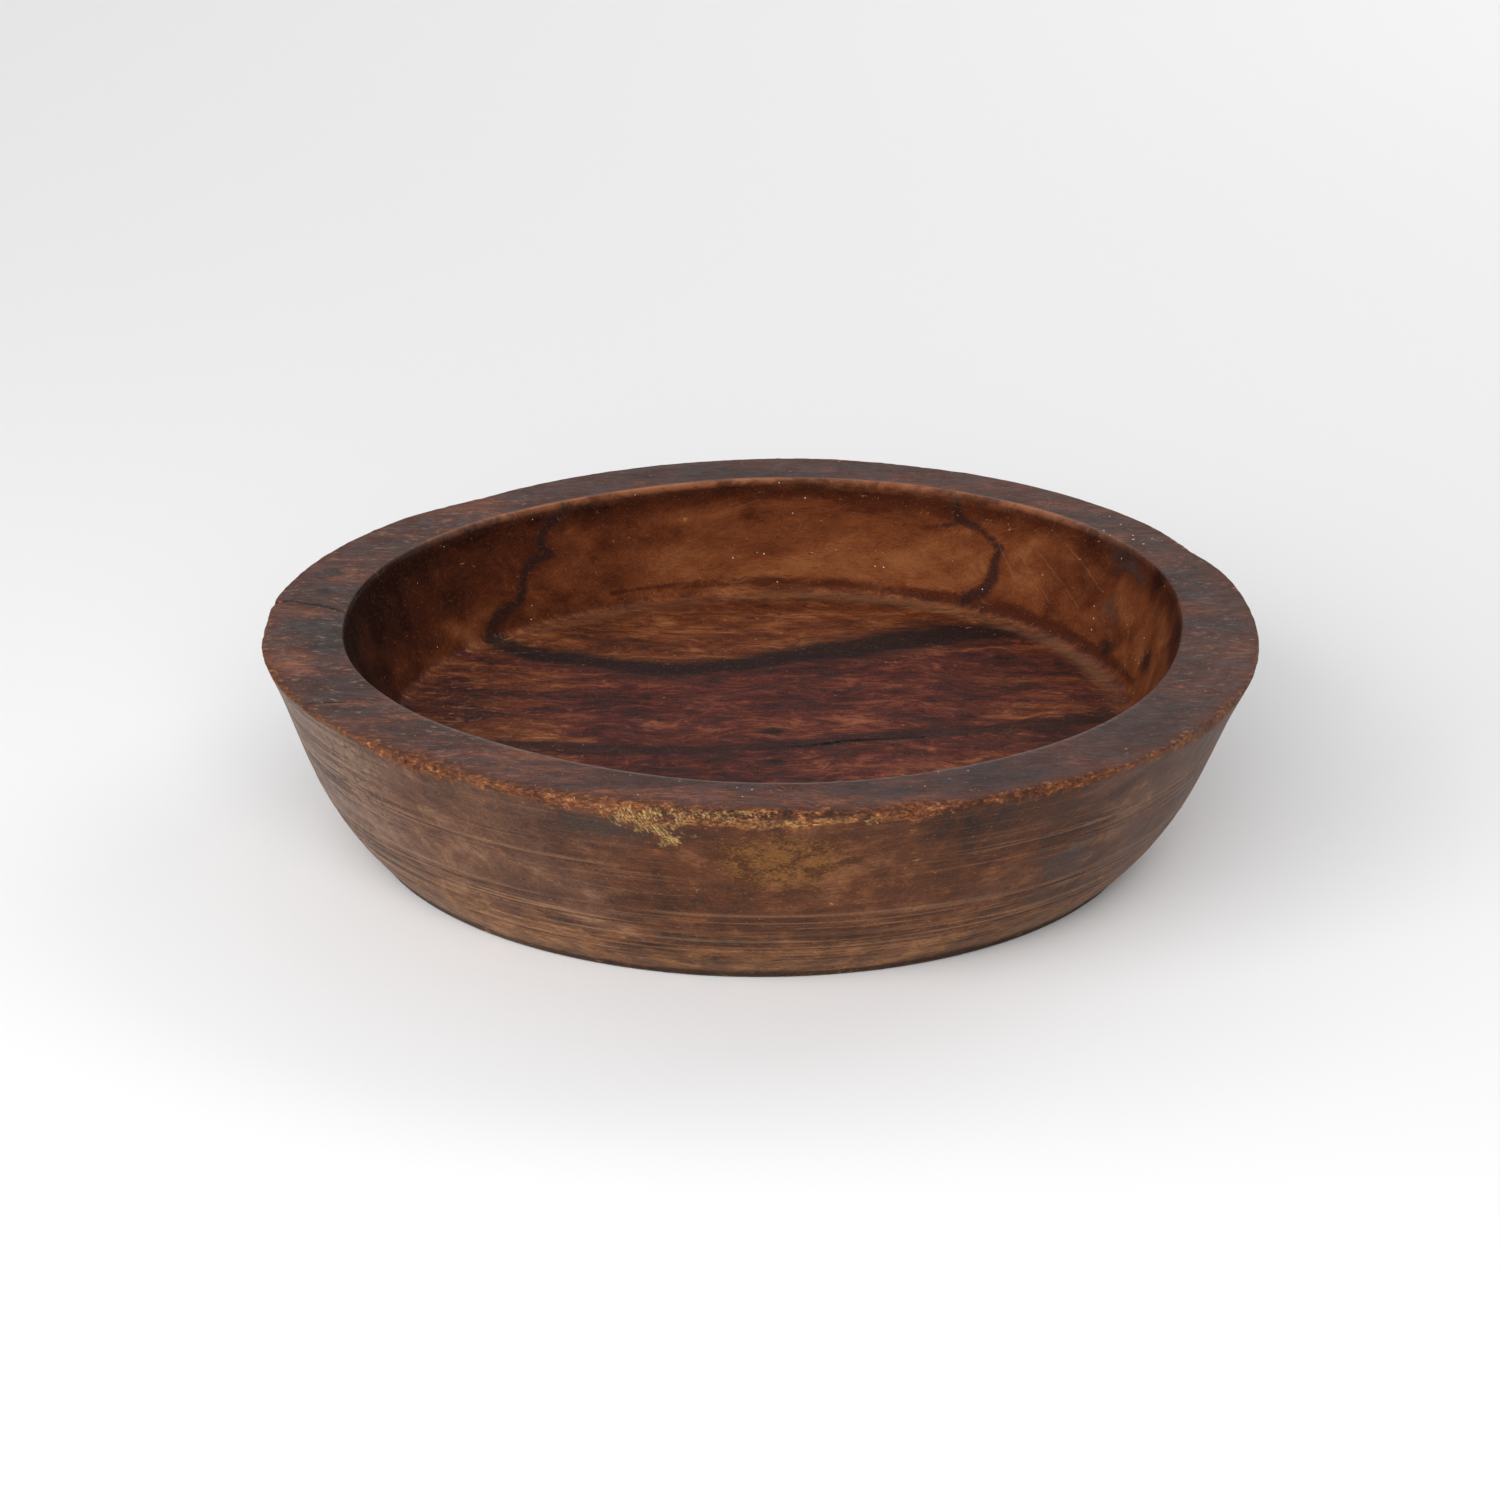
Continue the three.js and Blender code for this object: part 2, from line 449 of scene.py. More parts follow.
# Spots, each by its middle, its half sizes and sometimes how faint it is: by x and y on the floor
# and the rim, by bearing and height on the hollow's wall and the outside
FLOOR_KNOTS = ((2.6, -6.6, 6, 4), (4.0, -46.9, 6, 4), (-52.1, 6.8, 2.4, 2.0))
RIM_KNOTS = ((-217.6, 65.1, 6.5, 3.8), (-219.7, 36.2, 8.0, 3.2))
HOLLOW_KNOTS = ((11.9, 70.2, 6.5, 4.6), (27.8, 58.2, 6.0, 3.8))
RIM_SLATE = ((-212, -32, 16, 30), (-216.8, 68, 7, 6), (-217, 39, 10, 4))
HOLLOW_SLATE = ((30.0, 74.0, 10, 6), (30.0, 97.0, 34, 7, 0.3))
OUTER_SLATE = ((309.0, 55.0, 26, 13), (251.5, 90.2, 34, 7))
OUTER_GOLD = ((271.5, 77.0, 30, 16),)
OUTER_DENTS = ((257.7, 80.1, 9, 2.6, 1.1), (266.6, 84.2, 7, 3.0, 1.0))
TORN_PATCHES = (
    (257.0, 98.8, 17, 4.4), (258.4, 94.0, 10, 5), (259.4, 87.5, 8, 4.5, 0.5),
    (265.0, 101.8, 14, 2.2), (281.6, 99.0, 5, 2.4, 0.4),
)
RIM_CHIP = (9, -214, 7, 4)
RIM_NOTCH = (-243.5, 20, 4, 4)
RIM_SPECKS = (186, 128, 46, 60)

# Lighter and darker places in the same way, each with how much lighter it is at the end
FLOOR_TONES = (
    (-73, 27, 48, 22, -0.08), (27, 74, 45, 13, -0.06), (16, 6, 34, 11, 0.15),
    (76, 27, 34, 8, 0.12), (-110, 12, 26, 20, 0.10), (-143, 104, 22, 10, 0.12),
    (-121, 120, 18, 8, 0.12), (-62, -40, 50, 14, -0.10), (134, 42, 24, 9, 0.14),
    (-70, 108, 34, 10, -0.12), (64, -56, 60, 12, 0.10), (-20, -46, 60, 12, 0.06),
    (20, 150, 110, 28, 0.09), (-124, 30, 30, 40, -0.07), (124, 60, 30, 34, -0.05),
    (-150, -14, 24, 60, -0.08),
)
# In the rim's tones, the one at x -228, y 6 is a painted highlight on the lit front lip of the crack at
# the left
RIM_TONES = (
    (-224, -58, 12, 30, 0.28), (-209, 68, 16, 26, 0.14), (-131, -182, 60, 22, 0.16),
    (-31, -222, 90, 8, 0.12), (-31, -206, 90, 8, -0.10), (152, -160, 50, 18, -0.15),
    (218, 35, 22, 60, -0.06), (-63, 223, 110, 16, -0.12), (-150, 168, 26, 20, 0.10),
    (-228, 6, 15, 5, 0.24), (-217, -28, 15, 26, -0.14), (-190, -88, 26, 9, -0.20),
    (-219, 63, 6, 5, -0.20), (-192, -113, 26, 3, 0.45), (-213, -24, 11, 26, -0.25),
    (-226, 10, 10, 8, 0.10), (104, -196, 44, 20, -0.10), (176, -140, 50, 34, -0.07),
)
# In the hollow's tones: the first is painted shade over the left wall, which is also darker wood; the
# third is painted light on the lower back wall; the last but one is painted shade under the mouth at the
# back right
HOLLOW_TONES = (
    (172, 84, 150, 48, -0.35), (160, 58, 46, 9, 0.14), (95, 68, 95, 14, 0.12),
    (92.5, 88, 6, 6, -0.16), (67, 86.6, 12, 1.6, -0.22), (48, 77, 24, 18, 0.08),
    (33, 92, 44, 12, -0.07), (144, 61, 22, 7, 0.22),
)
OUTER_TONES = (
    (245, 88, 40, 8, -0.08), (295.5, 66, 13, 10, -0.10), (300.5, 62, 12, 9, 0.14),
    (252.7, 38, 10, 2.6, -0.30), (246, 30, 14, 2.2, -0.22), (255, 21, 14, 3, -0.24),
    (264, 27, 16, 2.4, -0.22), (268, 33, 18, 2.6, 0.16), (286, 26, 16, 2.6, -0.2),
    (292, 19, 22, 2.4, 0.16), (258, 58, 44, 16, -0.09), (289, 90, 22, 9, -0.14),
    (284, 46, 44, 20, 0.09), (225, 50, 44, 16, 0.08), (271.4, 64, 14, 4.5, 0.22),
    (278, 71, 14, 8, 0.12), (256, 92, 60, 7, -0.11), (290, 48, 50, 22, 0.03),
    (236, 12, 50, 12, 0.08), (214, 80, 30, 12, 0.06), (312, 92, 40, 14, -0.07),
    (298, 97, 40, 10, -0.10), (245, 76, 30, 10, -0.05),
)

# Drying cracks: x, y and width along the floor and the rim, and bearing, height and width on the
# hollow's wall. The rim's crack starts at the left on the outer wall, by y, height and width, and
# turns over the arris and over the mouth's edge at points of x, y, height and width.
CRACK_DEPTH = 2.2
CRACK_LIFT = 1.2
FLOOR_CRACK = (
    (-6, -28.5, 0.5), (18, -26, 1.6), (29, -22.5, 2.6),
    (40, -18.5, 2.2), (57, -16.3, 1.3), (80, -12.5, 0.5),
)
RIM_CHECK = ((-218, -113.8, 0.8), (-214, -113.4, 2.2), (-200, -111.5, 1.3), (-179, -112.7, 0.4))
CRACK_ON_WALL = ((19.5, 92, 0.3), (19.5, 98, 1.2))
CRACK_OVER_ARRIS = ((-244.5, 20.0, 104.5, 2.0),)
CRACK_ON_RIM = (
    (-240, 21.8, 2.0), (-235, 22.8, 1.8), (-228, 19.5, 1.7), (-220, 17.5, 1.7), (-213, 12.5, 2.0),
)
CRACK_OVER_MOUTH = ((-208.6, 9.8, 104.4, 1.5),)
CRACK_IN_HOLLOW = ((177.2, 99, 1.5), (177.6, 93, 1.2), (177.0, 85, 0.4))
OUT_OF_WALL = np.array([-1.0, 0.08, 0.0])
OUT_OF_HOLLOW = np.array([0.93, -0.05, 0.37])

# Thin pale scratches, by their ends on the rim, the hollow's wall and the outside
RIM_SCRATCHES = (((124, -167), (155, -174)), ((87, -172), (101, -168)), ((111, -143), (119, -139)))
HOLLOW_SCRATCHES = (
    ((50.4, 80.2), (44.2, 65.5)), ((47.5, 84.5), (38.3, 69.1)),
    ((43.0, 92.6), (34.0, 80.5)), ((54.6, 83.0), (51.5, 71.9)),
)
OUTER_SCRATCHES = (
    ((281, 70.2), (288.5, 71.0), (298.3, 69.2)), ((308, 67.7), (314.4, 74.6)),
    ((233.3, 63.3), (245.3, 56.8), (261, 55.3)), ((302.6, 71.4), (306, 78)),
)


def toned(place, tones, distance):
    """The sum of the tones' soft patches."""
    return sum(amount * np.exp(-(distance(place, *at) ** 2)) for *at, amount in tones)


def tone(place):
    """How much lighter or darker than its region each point is; in the hollow partly painted light and
    shade.
    """
    # Painted shade: the hollow's wall darker towards the mouth
    shade_under_mouth = -0.27 * smooth(place.z, HEIGHT - 20, HEIGHT - 3)
    total = place.on_floor * toned(place, FLOOR_TONES, flat_spot)
    total += place.in_wall * (toned(place, HOLLOW_TONES, wall_spot) + shade_under_mouth)
    total += place.on_rim * toned(place, RIM_TONES, flat_spot)
    return total + place.outside * toned(place, OUTER_TONES, wall_spot)


def behind_vein(place):
    """1 on the part of the floor that lies behind the vein, and some of it at both sides."""
    xs, ys, _ = np.transpose(FLOOR_VEIN)
    behind = smooth(place.y - np.interp(place.x, xs, ys), -4, 8)
    sides = 0.42 * smooth(np.abs(place.x), 70, 135)
    return place.on_floor * np.maximum(behind, sides)


def outward(point, tilt):
    """The way out of the bowl's middle, tilted up by a share."""
    return np.array([*point[:2], 0.0]) / np.hypot(*point[:2]) + tilt * UP


def scratch_lines():
    """Every scratch as ((point, point), surface's outward way)."""
    lines = []
    for marks, make, way in (
        (RIM_SCRATCHES, on_rim, lambda point: UP),
        (HOLLOW_SCRATCHES, on_hollow, lambda point: outward(point, -0.4)),
        (OUTER_SCRATCHES, on_outside, lambda point: outward(point, -0.5)),
    ):
        for mark in marks:
            points = [make(*at) for at in mark]
            lines += [(pair, way(pair[0])) for pair in pairwise(points)]
    return lines


def scratch_fields(place):
    """How far across the nearest scratch each point lies, in millimetres, and how near it is."""
    across = np.full(len(place.points), FAR)
    nearest = np.full(len(place.points), np.inf)
    for (a, b), way in scratch_lines():
        along = (b - a) / np.linalg.norm(b - a)
        side = np.cross(way, along)
        from_a = place.points - a
        run = np.clip(from_a @ along, 0, np.linalg.norm(b - a))
        gap = np.linalg.norm(from_a - run[:, None] * along, axis=1)
        closer = gap < nearest
        across = np.where(closer, from_a @ side / np.linalg.norm(side), across)
        nearest = np.where(closer, gap, nearest)
    return across, smooth(nearest, 5.0, 2.0)


def arris_wear(place):
    """How much the outer arris has lost its skin: most along the front, in patches elsewhere."""
    from_arris = np.hypot(np.maximum(0, place.to_edge), np.maximum(0, HEIGHT - place.z))
    reach = 1.7 + arris_bite(place.bearing) * 1.1 + 2.2 * place.facing(*WIDE_WEAR)
    front = 0.45 + 0.55 * smooth(place.behind, 0.35, -0.2)
    front *= 1 - 0.5 * smooth(place.right, 0.3, 0.8)
    patchy = 0.6 + 0.4 * smooth(place.noise((22, 22, 40), 51), -0.5, 0.4)
    chip = place.on_rim * smooth(flat_spot(place, *RIM_CHIP), 1.2, 0.5)
    worn = front * patchy * smooth(from_arris / reach, 1.5, 0.55)
    return np.maximum(place.clear_of_mouth * worn, chip)


def rubbed(place):
    """How much the rim's finish is rubbed along its outer arris."""
    return place.on_rim * smooth(place.to_edge - arris_bite(place.bearing), 11, 0)


def calm_front(place, reach):
    """1 on the upper wall at the front, where few turned lines are left."""
    return smooth(place.z, *CALM_FROM) * place.facing(CALM_BEARING, reach)


def tool_lines():
    """Heights, depths and half widths of the fine turned lines, from the bottom up."""
    random = np.random.default_rng(LINES_SEED)
    lines = []
    for low, high, count in (LOW_LINES, HIGH_LINES):
        for z in np.linspace(low, high, count):
            z += random.uniform(-0.6, 0.6)
            deep = random.uniform(0.25, 0.65) * (1.0 if z < LINES_PARTED else 0.5)
            lines.append((z, deep, random.uniform(0.6, 0.85)))
    return lines


def turned_lines(place):
    """Depth of the turned lines over the outer wall, in millimetres: grooves and low ridges."""
    depth = np.zeros(len(place.points))
    left = 0.7 * smooth(-place.right, 0.25, 0.6)
    for i, (z, deep, half) in enumerate(tool_lines()):
        wander = 0.7 * place.noise((70, 70, 400), 3 + i)
        strength = smooth(place.noise((95, 95, 900), 23 + i), -0.6, 0.5)
        away = (place.z - z - wander) / half
        profile = np.exp(-(away**2)) - 0.45 * np.exp(-((away - 1.9) ** 2))
        depth += deep * np.maximum(strength, left * (z < LINES_PARTED)) * profile
    return depth * (1 - 0.85 * calm_front(place, 12)) * smooth(place.outside, 0.3, 0.9)


def turned_zones(place):
    """1 in the two bands of the outer wall that fine turned lines cover."""
    low, high = (np.abs(place.z - middle) / half for middle, half in (LOW_BAND, HIGH_BAND))
    covered = np.maximum(smooth(low, 1.15, 0.85), 0.7 * smooth(high, 1.2, 0.8))
    left = smooth(-place.right, 0.2, 0.6) * towards_front(place)
    patchy = smooth(place.noise((80, 80, 30), 61), -0.7, 0.3)
    patchy = np.maximum(patchy, np.where(place.z < LINES_PARTED, 0.55 + 0.45 * left, 0.6 * left))
    bands = 0.15 + 0.85 * covered * patchy
    plain = 1 - 0.42 * place.facing(*PLAIN_TURNING)
    return place.outside * bands * (1 - 0.8 * calm_front(place, 14)) * plain


def splinters(place):
    """Torn fibres of the pale patch under the rim and of its ledge."""
    ragged = 0.7 * place.noise((6, 6, 4), 5) + 0.7 * place.noise((2.6, 2.6, 2.2), 6)
    torn = smooth(spots(place, wall_spot, TORN_PATCHES) + ragged, 1.5, 0.2)
    return torn * place.clear_of_mouth * smooth(place.z, HEIGHT - 0.6, HEIGHT - 1.6)


def relief(place):
    """How deep each point sinks below the plain turned surface, in millimetres."""
    noise = place.noise
    broad = 0.22 * (1 + noise((70, 55, 40), 41)) + 0.08 * (1 + noise((16, 9, 9), 42))
    ragged = 0.35 * (1 + noise((2.6, 2.6, 2.2), 43)) + 0.3 * (1 + noise((7, 4, 3), 44))
    fibres = 0.45 * (1 + noise((15, 3, 1.5), 45))
    dents = sum(deep * smooth(wall_spot(place, *at), 1.2, 0.2) for *at, deep in OUTER_DENTS)
    notch = 0.7 * smooth(flat_spot(place, *RIM_NOTCH), 1.3, 0.2) * (place.z > 95)
    depth = broad + 0.75 * arris_wear(place) * ragged + splinters(place) * fibres
    depth += turned_lines(place) + dents * place.outside + notch
    depth += place.under * (0.5 + 0.09 * np.sin(place.radius * 2.2))
    return np.where(place.z < 0.01, np.maximum(depth, 0) * place.under, np.maximum(depth, 0))


def vein_field(place):
    """Distance from the dark veins and knots, in half widths."""
    return closest(
        only(near_lines(place, on_floor, FLOOR_VEIN), place.in_hollow),
        near_lines(place, on_hollow, LEFT_VEIN, RIGHT_VEIN, BRANCH_VEIN),
        spots(place, flat_spot, FLOOR_KNOTS, place.on_floor),
        spots(place, flat_spot, RIM_KNOTS, place.on_rim),
        spots(place, wall_spot, HOLLOW_KNOTS, place.in_wall),
    )


def band_field(place):
    """Distance from the soft dark bands, in half widths."""
    band = only(near_lines(place, on_floor, FLOOR_BAND), place.in_hollow)
    return closest(band, 0.75 * near_lines(place, on_hollow, EDGE_LINE))


def slate_field(place):
    """Distance from the bluish grey patches, in half sizes."""
    return closest(
        spots(place, flat_spot, RIM_SLATE, place.on_rim),
        spots(place, wall_spot, HOLLOW_SLATE, place.in_wall),
        spots(place, wall_spot, OUTER_SLATE, place.outside),
    )


def dust_field(place):
    """Dust in the corner round the floor: along the back and the right side only."""
    edge = place.radius - FLOOR_RADIUS - swell(MOUTH_LOBES, place.bearing)
    ring = smooth(np.abs(edge + 6.5) / 5.5, 1.4, 0.2) * (place.z < FLOOR_HEIGHT + 6)
    turn = np.degrees(place.bearing)
    side = smooth(turn, -14, 35) * smooth(turn, 152, 105)
    return place.in_hollow * ring * side


def weathered_field(place):
    """How far the outside has gone grey: most at the left and the right."""
    front = np.maximum(smooth(-place.right, 0.15, 0.6), 0.8 * smooth(place.right, 0.45, 0.85))
    return place.outside * np.maximum(front, 0.6 * (place.y > 0))


def towards_front(place):
    """1 in the front half, falling to a low value behind."""
    return 1 - 0.8 * smooth(place.behind, -0.05, 0.55)


def coarse_field(place):
    """Where the wood shows coarser fibres: at the left, and at the far right of rim and floor."""
    left = smooth(-place.x, 70, 160)
    flat = (place.on_rim + place.on_floor) * np.maximum(left, 0.8 * smooth(place.x, 150, 215))
    rough = 1.5 * smooth(-place.x, 150, 200) * towards_front(place)
    return flat + 0.15 * place.in_wall * left + place.outside * rough


def left_sheen_field(place):
    """A painted sheen on the leftmost part of the outer wall."""
    return place.outside * smooth(-place.right, 0.66, 0.95) * towards_front(place)


def ledge_fields(place):
    """Crumbling dark wood between the ledge and the rim, and along its edge fresh pale wood with a
    painted highlight.
    """
    near = place.clear_of_mouth * place.facing(LEDGE_BEARING, LEDGE_STAIN_REACH, 4)
    above = place.z - HEIGHT + arris_bite(place.bearing)
    ragged = above + 0.5 * place.noise((7, 7, 9), 81)
    lip = near * smooth(above, 0.5, 1.4) * smooth(place.z, 104.8, 103.6)
    return lip, near * smooth(np.abs(ragged + 0.3), 1.5, 0.4)


def mouth_field(place):
    """Where the mouth's rounded edge gets its painted highlight behind and its painted reflection in
    front.
    """
    near = smooth(np.abs(place.to_mouth + 0.7), 1.9, 0.3) * (place.z > HEIGHT - 6)
    ends = smooth(np.abs(place.behind), 0.35, 0.75)
    return (place.on_rim + place.in_hollow) * near * ends


def crack_field(place):
    """Distance from the cracks, in half widths of their dark stain."""
    lines = cracks().values()
    stained = ([(point, 0.25 + 0.6 * width) for point, _, width in line] for line in lines)
    return closest(*(near_line(place, line) for line in stained))


def foot_darkening_field(place):
    """Darker along the foot of the outer wall."""
    height = place.z + 1.8 * place.noise((11, 11, 50), 71)
    return place.outside * smooth(height, 7.5, 2.5)


def speck_field(place):
    """How many pale specks there are: most in the hollow and on the rim's far right."""
    far_right = smooth(flat_spot(place, *RIM_SPECKS), 1.2, 0.3)
    back = smooth(place.behind, -0.3, 0.5)
    front = smooth(-place.behind, 0.7, 0.95)
    on_rim = place.on_rim * (1.2 * far_right + 0.65 * front)
    return 0.3 + 0.5 * place.in_wall * back + 0.12 * place.on_floor + on_rim


FIELDS = {
    "tone": tone, "golden": behind_vein, "veins": vein_field, "bands": band_field,
    "slate": slate_field, "dust": dust_field, "weathered": weathered_field, "coarse": coarse_field,
    "left_sheen": left_sheen_field, "mouth": mouth_field, "raw": arris_wear, "rubbed": rubbed,
    "splinter": splinters, "lines": turned_lines, "turned": turned_zones, "cracks": crack_field,
    "darker_foot": foot_darkening_field, "specks": speck_field,
}


def fields(place):
    """Named values at every point, which the material reads."""
    values = {name: field(place) for name, field in FIELDS.items()}
    values |= {"floor": place.on_floor, "hollow": place.in_wall, "rim": place.on_rim}
    values |= {"underside": place.under, "low": place.outside * smooth(place.z, 44, 8)}
    values["back"] = smooth(place.behind, 0.2, 0.95)
    values["gold"] = spots(place, wall_spot, OUTER_GOLD, place.outside)
    values["lip"], values["ledge"] = ledge_fields(place)
    values["scratch_across"], values["scratch_near"] = scratch_fields(place)
    return values


def crack_piece(make, out, marks):
    """Part of a crack, as (point, outward direction, width), on points that make works out."""
    return [(make(*at), out, width) for *at, width in marks]


def rim_crack():
    """From the wall under the arris, over the rim and down the hollow's wall."""
    over_arris = (OUT_OF_WALL + UP) / np.sqrt(2)
    over_mouth = (UP + OUT_OF_HOLLOW) / np.linalg.norm(UP + OUT_OF_HOLLOW)
    return [
        *crack_piece(on_left, OUT_OF_WALL, CRACK_ON_WALL),
        *crack_piece(anywhere, over_arris, CRACK_OVER_ARRIS),
        *crack_piece(on_rim, UP, CRACK_ON_RIM),
        *crack_piece(anywhere, over_mouth, CRACK_OVER_MOUTH),
        *crack_piece(on_hollow, OUT_OF_HOLLOW, CRACK_IN_HOLLOW),
    ]


def cracks():
    """Every crack as a line of (point, outward direction, width)."""
    return {
        "floor": crack_piece(on_floor, UP, FLOOR_CRACK),
        "rim": rim_crack(),
        "check": crack_piece(on_rim, UP, RIM_CHECK),
    }


def add_object(name, data):
    """A new object in the scene, for a mesh, a light or a camera."""
    made = bpy.data.objects.new(name, data)
    bpy.context.scene.collection.objects.link(made)
    return made


def crack_cutter(name, line, middle):
    """A thin three-sided wedge along a crack, sharp at its bottom."""
    corners = []
    for i, (point, out, width) in enumerate(line):
        ahead = line[min(i + 1, len(line) - 1)][0] - line[max(i - 1, 0)][0]
        side = np.cross(out, ahead)
        side /= np.linalg.norm(side)
        depth = CRACK_DEPTH * min(1, width)
        half = width / 2 * (depth + CRACK_LIFT) / depth
        lifted = point + out * CRACK_LIFT
        corners += [lifted + side * half, lifted - side * half, point - out * depth]
    last = 3 * (len(line) - 1)
    faces = [(0, 1, 2)]
    for i in range(0, last, 3):
        faces += [(i, i + 3, i + 4, i + 1), (i + 1, i + 4, i + 5, i + 2), (i + 2, i + 5, i + 3, i)]
    faces.append((last + 2, last + 1, last))
    mesh = bpy.data.meshes.new(name)
    mesh.from_pydata([(corner - middle) * MM for corner in corners], [], faces)
    return add_object(name, mesh)


def cut_cracks(bowl, middle):
    """Cuts the cracks into the bowl's mesh, and leaves no cutter or modifier behind."""
    cutters = [crack_cutter("crack_" + name, line, middle) for name, line in cracks().items()]
    for cutter in cutters:
        modifier = bowl.modifiers.new(cutter.name, "BOOLEAN")
        modifier.operation = "DIFFERENCE"
        modifier.solver = "MANIFOLD"
        modifier.object = cutter
    graph = bpy.context.evaluated_depsgraph_get()
    cut = bpy.data.meshes.new_from_object(bowl.evaluated_get(graph))
    bowl.modifiers.clear()
    bowl.data = cut
    for cutter in cutters:
        bpy.data.objects.remove(cutter)


def read_points(mesh, name="co"):
    values = np.empty(3 * len(mesh.vertices), np.float32)
    mesh.vertices.foreach_get(name, values)
    return values.reshape(-1, 3).astype(float)


# Two discs to bake on, the inside with the rim and the outside with the underside: each by its
# middle and its size on the map, the way along the surface that fills it, and the share of the
# height that is added to the radius to measure that way
INSIDE_DISC = (0.28, 0.27, 300.0, np.hypot(HOLLOW_LEAN, HOLLOW_DEPTH) / HOLLOW_DEPTH - 0.35)
OUTSIDE_DISC = (0.685, 0.305, 345.0, 0.75)


def disc_spots(place, disc, height):
    """Each point's place on one disc of the map."""
    centre, size, reach, slope = disc
    scale = size * (place.radius + height * slope) / reach
    return np.stack([centre + scale * place.right, centre + scale * place.behind], 1)


def add_uv(mesh, place):
    """Lays the mesh out for baking, each point on the disc that it belongs to."""
    inside = disc_spots(place, INSIDE_DISC, np.clip(place.z - FLOOR_HEIGHT, 0, HOLLOW_DEPTH))
    outside = disc_spots(place, OUTSIDE_DISC, np.clip(place.z, 0, HEIGHT))
    layout = np.where((place.in_hollow + place.on_rim > 0.5)[:, None], inside, outside)
    corners = np.empty(len(mesh.loops), np.int32)
    mesh.loops.foreach_get("vertex_index", corners)
    layer = mesh.uv_layers.new(name="OFBake")
    layer.data.foreach_set("uv", layout[corners].astype(np.float32).ravel())


def make_bowl():
    points, faces = turned_surface()
    middle = (points.min(0) + points.max(0)) / 2 * (1, 1, 0)
    mesh = bpy.data.meshes.new("bowl_wood")
    mesh.from_pydata(points * MM, [], faces)
    normals = read_points(mesh, "normal")
    sunk = points - normals * relief(Place(points))[:, None] - middle
    mesh.vertices.foreach_set("co", (sunk * MM).astype(np.float32).ravel())
    bowl = add_object("bowl_wood", mesh)
    cut_cracks(bowl, middle)
    mesh = bowl.data
    mesh.name = "bowl_wood"
    place = Place(read_points(mesh) / MM + middle)
    for name, values in fields(place).items():
        attribute = mesh.attributes.new(name, "FLOAT", "POINT")
        attribute.data.foreach_set("value", values.astype(np.float32))
    add_uv(mesh, place)
    mesh.shade_smooth()
    mesh.set_sharp_from_angle(angle=np.radians(SHARP_ANGLE))
    return bowl


# The wood's colours from dark to pale: a level of the figure, then red, green and blue as they
# look on a screen
FLOOR_WINE = ((0.12, 34, 16, 16), (0.34, 61, 25, 21), (0.52, 87, 37, 27), (0.84, 136, 77, 52))
FLOOR_GOLDEN = ((0.12, 50, 22, 12), (0.34, 79, 36, 16), (0.52, 102, 50, 23), (0.84, 146, 90, 52))
HOLLOW_WOOD = ((0.05, 33, 10, 4), (0.30, 64, 28, 13), (0.50, 96, 50, 26), (0.80, 133, 84, 50))
RIM_WOOD = ((0.14, 34, 19, 17), (0.36, 54, 26, 19), (0.56, 72, 33, 20), (0.84, 118, 66, 42))
SIDE_BROWN = ((0.08, 30, 17, 12), (0.30, 56, 31, 19), (0.52, 80, 44, 25), (0.86, 124, 80, 50))
SIDE_GREY = ((0.08, 38, 26, 21), (0.30, 66, 42, 32), (0.52, 90, 60, 44), (0.86, 140, 106, 84))
FOOT_WOOD = ((0.10, 50, 30, 19), (0.34, 96, 60, 35), (0.55, 134, 88, 52), (0.86, 174, 130, 86))
UNDER_WOOD = ((0.14, 46, 33, 25), (0.36, 74, 54, 40), (0.55, 98, 74, 54), (0.84, 134, 106, 80))
BARE_WOOD = ((0.12, 32, 19, 13), (0.38, 76, 41, 24), (0.60, 112, 66, 38), (0.95, 168, 118, 78))
TORN_WOOD = ((0.10, 44, 30, 18), (0.42, 94, 66, 36), (0.80, 168, 136, 86))

# How much of the flame, fibre, broad and blot noises each region's figure has, over its middle
FLAT_FIGURE = (0.46, 0.22, 0.26, 0.10)
HOLLOW_FIGURE = (0.08, 0.09, 0.22, 0.07)
RIM_FIGURE = (0.34, 0.36, 0.32, 0.10)
SIDE_FIGURE = (0.09, 0.13, 0.20, 0.24)
FOOT_FIGURE = (0.16, 0.30, 0.16, 0.34)
MIDDLE_FIGURE = 0.46

# Pigments that lie over the wood, as they look on a screen
BAND_ON_FLOOR, BAND_ON_WALL = (38, 18, 16), (54, 22, 13)
VEIN_ON_FLOOR, VEIN_ON_WALL, VEIN_EDGE = (26, 14, 14), (32, 19, 18), (54, 27, 19)
SLATE_ON_RIM, SLATE_ELSEWHERE = (38, 30, 29), (58, 48, 44)
GOLD_DARK, GOLD_PALE = (67, 37, 16), (108, 70, 33)
# The first pigment on the next line is a painted sheen on the far left of the outer wall
LEFT_SHEEN, DUST, FOOT_DARK, CRACK = (134, 116, 102), (126, 86, 60), (33, 23, 17), (15, 10, 9)
# Painted shade in the turned grooves, and painted highlight on their ridges
GROOVE_SHADE, RIDGE_HIGHLIGHT, TURNING_HIGHLIGHT = (46, 31, 24), (140, 104, 76), (146, 110, 82)
DARK_FLECK, PALE_FLECK, FIGURE_LINE = (32, 22, 18), (152, 114, 80), (30, 16, 13)
DIRT, GRAIN_BLOOM = (26, 16, 13), (150, 108, 76)
DARK_FIBRE, PALE_FIBRE = (28, 18, 15), (158, 116, 88)
# The ledge's pale colour is fresh wood and also a painted highlight along the step
RUBBED, LEDGE_DARK, LEDGE_PALE = (90, 46, 26), (122, 82, 46), (172, 130, 82)
LIP_DARK, LIP_FLAKE = (40, 26, 19), (160, 116, 72)
